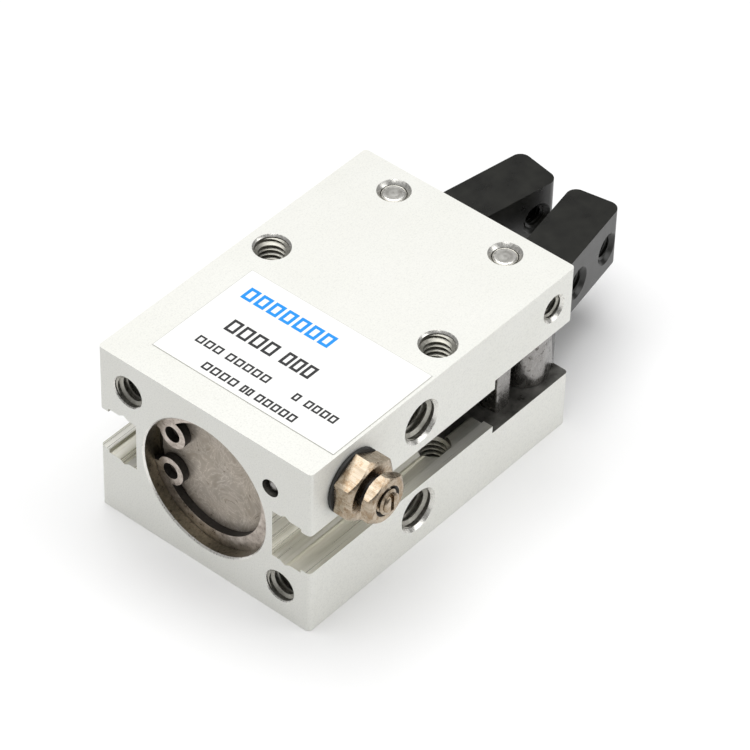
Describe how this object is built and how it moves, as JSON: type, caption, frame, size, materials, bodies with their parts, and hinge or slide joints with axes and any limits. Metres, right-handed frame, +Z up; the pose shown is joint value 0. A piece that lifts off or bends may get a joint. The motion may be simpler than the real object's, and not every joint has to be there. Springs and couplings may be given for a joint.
{
  "type": "pneumatic angular gripper",
  "caption": "Compact air-driven gripper: grooved rectangular body, piston and fork cam, two angular fingers on shafts, needle speed control.",
  "frame": {"origin": "centre of the body's bottom face", "axes": "+X out of the finger end along the piston axis, +Z up out of the labelled face, the air ports face -Y"},
  "size_m": [0.0636, 0.0363, 0.0237],
  "materials": {
    "anodised_body": "matte clear anodised",
    "label": "printed film",
    "spring_steel": "phosphated spring steel",
    "turned_aluminium": "face turned",
    "ball_steel": "polished ball",
    "rubber": "black nitrile rubber",
    "ground_steel": "ground",
    "dark_steel": "black oxide",
    "nickel_brass": "nickel plated",
    "wear_plastic": "filled plastic",
    "magnet": "bonded magnet",
    "black_oxide": "black oxide, light ground reflections"
  },
  "bodies": {
    "body": {"body_block": "anodised_body", "rating_label": "label", "retaining_ring": "spring_steel", "end_plate": "turned_aluminium", "end_plate_seal": "rubber", "passage_plug_ball": "ball_steel", "front_bumper": "rubber", "rod_seal": "rubber", "rod_seal_retainer": "ground_steel", "lever_shaft_left": "ground_steel", "lever_shaft_right": "ground_steel", "shaft_set_screw_left": "dark_steel", "shaft_set_screw_right": "dark_steel", "needle_body": "nickel_brass", "needle_gasket": "rubber"},
    "piston_group": {"piston": "turned_aluminium", "piston_seal": "rubber", "piston_wear_ring": "wear_plastic", "piston_magnet": "magnet", "piston_rod": "ground_steel", "piston_nut": "dark_steel", "centre_pin": "ground_steel", "roller_upper": "ground_steel", "roller_lower": "ground_steel"},
    "right_finger": {"finger_right": "black_oxide"},
    "left_finger": {"finger_left": "black_oxide"},
    "needle": {"needle_screw": "nickel_brass", "needle_oring": "rubber"},
    "lock_nut": {"needle_lock_nut": "nickel_brass"}
  },
  "joints": [
    {"name": "piston_slide", "type": "slide", "parent": "body", "child": "piston_group", "axis": [1, 0, 0], "range_m": [0, 0.0062]},
    {"name": "right_finger_pivot", "type": "hinge", "parent": "body", "child": "right_finger", "pos_m": [0.0188, -0.0081, 0.0118], "axis": [0, 0, -1], "range_deg": [0, 40]},
    {"name": "left_finger_pivot", "type": "hinge", "parent": "body", "child": "left_finger", "pos_m": [0.0188, 0.0081, 0.0118], "axis": [0, 0, 1], "range_deg": [0, 40]},
    {"name": "needle_turn", "type": "hinge", "parent": "body", "child": "needle", "pos_m": [-0.01565, -0.0153, 0.0184], "axis": [0, -1, 0], "range_deg": [0, 720]},
    {"name": "lock_nut_turn", "type": "hinge", "parent": "body", "child": "lock_nut", "pos_m": [-0.01565, -0.0195, 0.0184], "axis": [0, -1, 0], "range_deg": [0, 60]}
  ],
  "couplings": [
    {"joint": "right_finger_pivot", "follows": "piston_slide", "rad_per_m": 112.6},
    {"joint": "left_finger_pivot", "follows": "piston_slide", "rad_per_m": 112.6}
  ]
}
